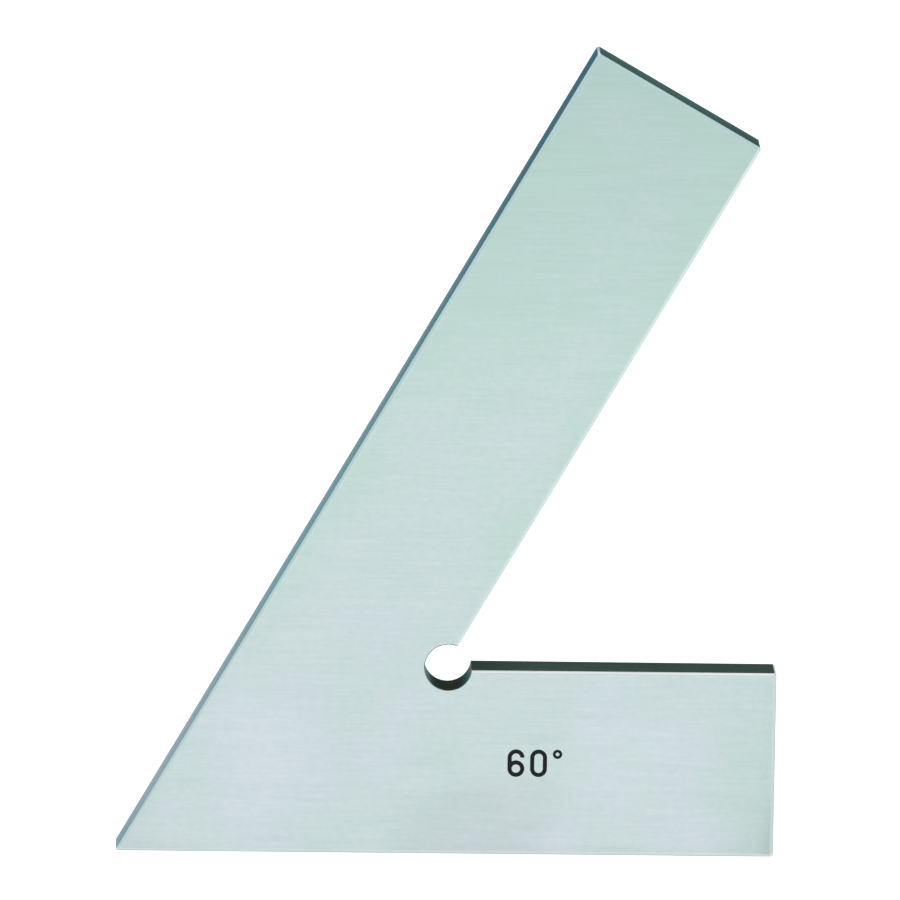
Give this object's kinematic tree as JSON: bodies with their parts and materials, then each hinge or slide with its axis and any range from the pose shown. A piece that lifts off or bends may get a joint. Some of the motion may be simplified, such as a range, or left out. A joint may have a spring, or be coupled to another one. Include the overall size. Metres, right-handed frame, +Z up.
{
  "type": "sixty-degree square",
  "caption": "Flat ground-steel square with a blade and a base fixed at sixty degrees and a relief hole at the inner corner, for marking out and checking angles.",
  "frame": {"origin": "middle of the base's outer edge, half-way through the plate's thickness", "axes": "+X along the base towards its free end, +Y through the plate away from the marked face, +Z up, square to the base's outer edge"},
  "size_m": [0.0699, 0.005, 0.0865],
  "materials": {
    "ground_steel": "fine straight grinding grain along the base, edges lightly broken",
    "black_enamel": "matt black filling of an engraving, just below the face"
  },
  "bodies": {
    "root": {"square_plate": "ground_steel", "angle_mark": "black_enamel"}
  },
  "joints": []
}
